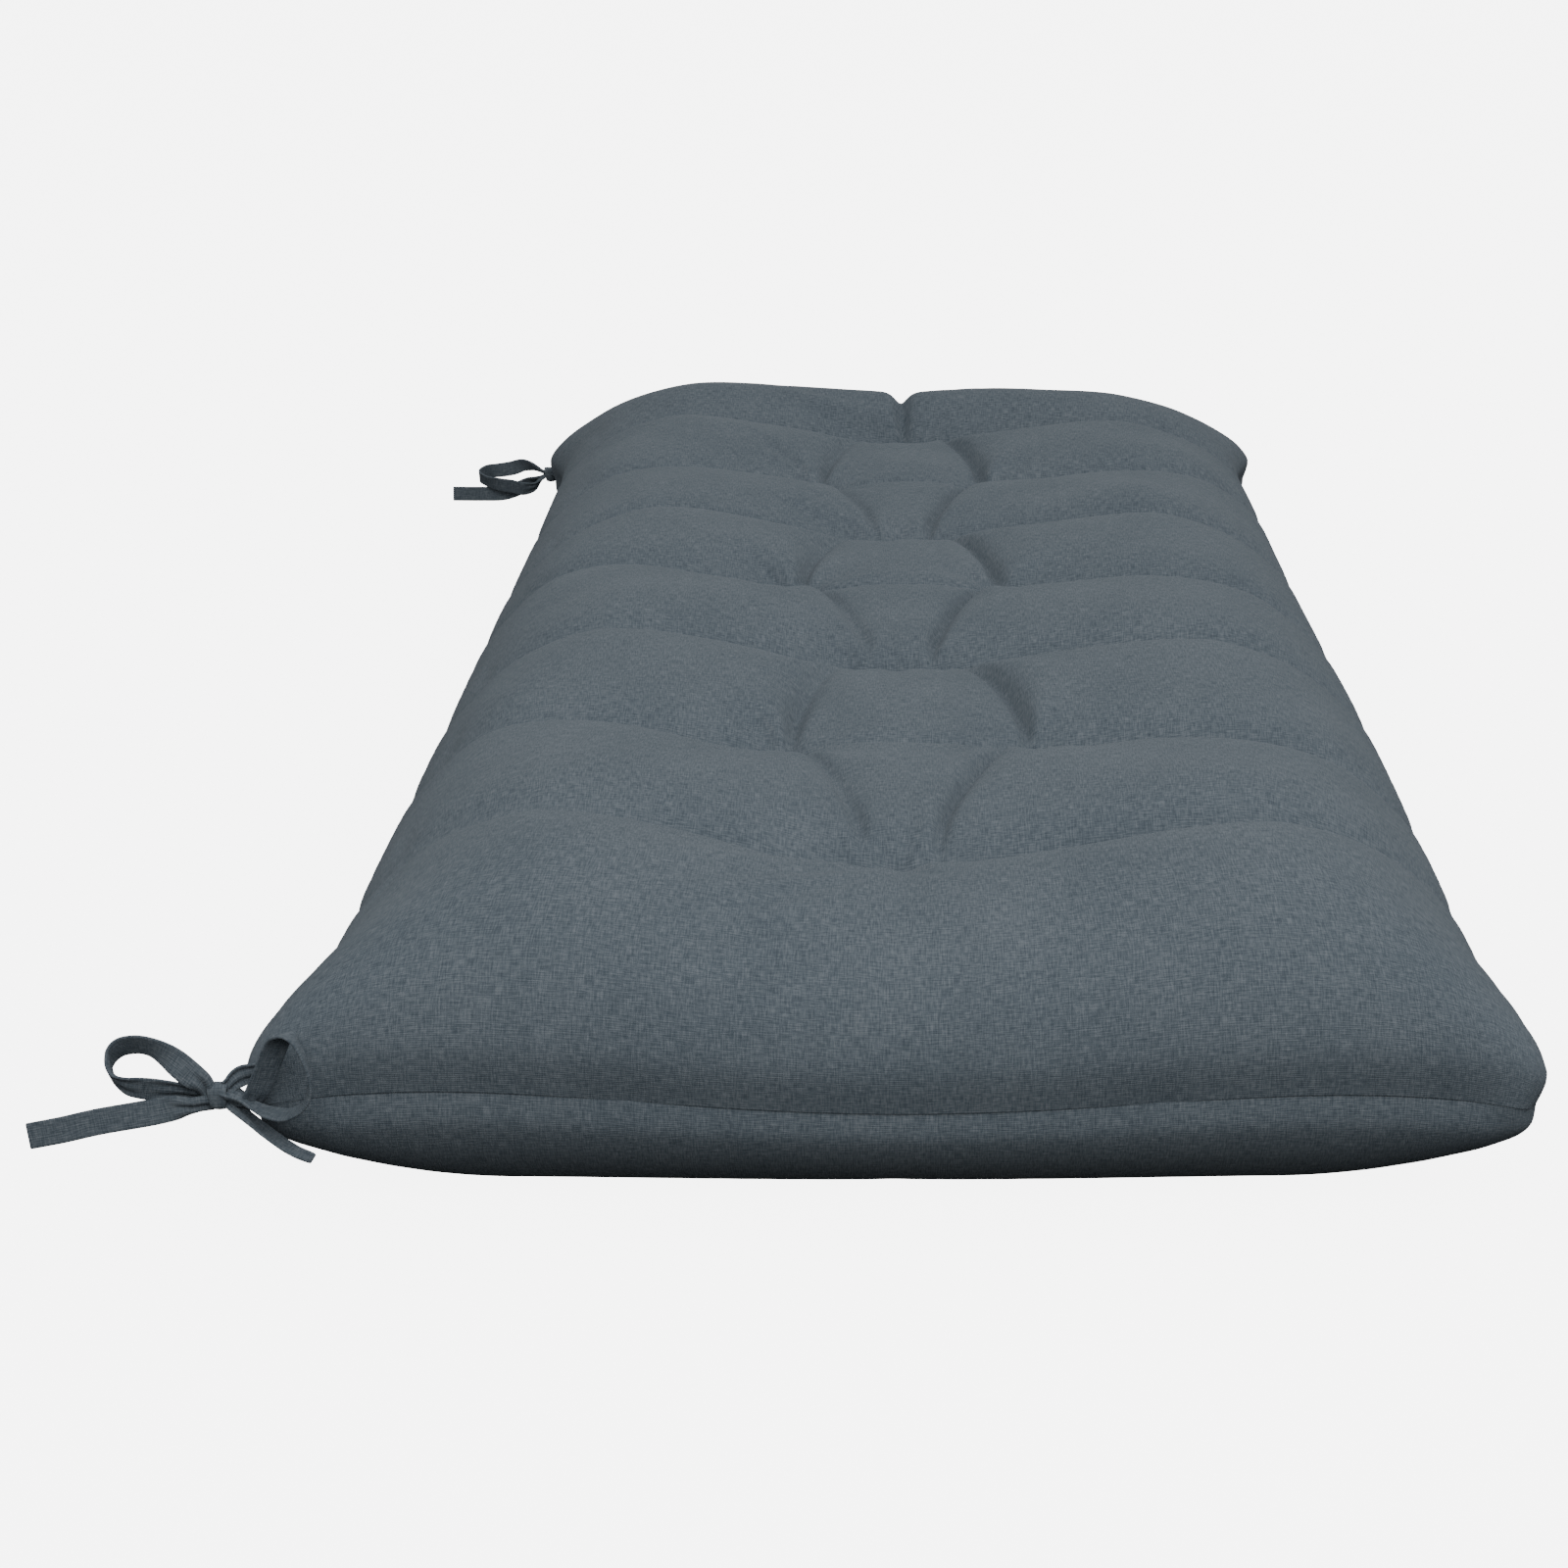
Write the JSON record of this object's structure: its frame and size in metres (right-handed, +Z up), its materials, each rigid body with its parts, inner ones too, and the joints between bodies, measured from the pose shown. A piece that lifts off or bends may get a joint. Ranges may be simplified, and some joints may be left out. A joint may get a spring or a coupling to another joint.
{
  "type": "tufted bench cushion",
  "caption": "Long filled bench cushion with knife edges, zigzag blind tufting and ribbon bows tied at its back corners.",
  "frame": {"origin": "middle of the flat underside, on the surface that the cushion rests on", "axes": "+X along the cushion's length, +Y towards the back edge that carries the ties, +Z up"},
  "size_m": [1.1626, 0.5582, 0.129],
  "materials": {
    "slate_linen_weave": "heathered slate blue-grey linen-look weave, matt",
    "slate_ribbon": "the same weave, cut and folded to flat ribbon"
  },
  "bodies": {
    "root": {"cushion": "slate_linen_weave", "near_knot": "slate_ribbon", "near_loop_out": "slate_ribbon", "near_tail_out": "slate_ribbon", "near_loop_in": "slate_ribbon", "near_tail_in": "slate_ribbon", "near_root_upper": "slate_ribbon", "near_root_lower": "slate_ribbon", "far_knot": "slate_ribbon", "far_loop_out": "slate_ribbon", "far_tail_out": "slate_ribbon", "far_loop_in": "slate_ribbon", "far_tail_in": "slate_ribbon", "far_root_upper": "slate_ribbon", "far_root_lower": "slate_ribbon"}
  },
  "joints": []
}
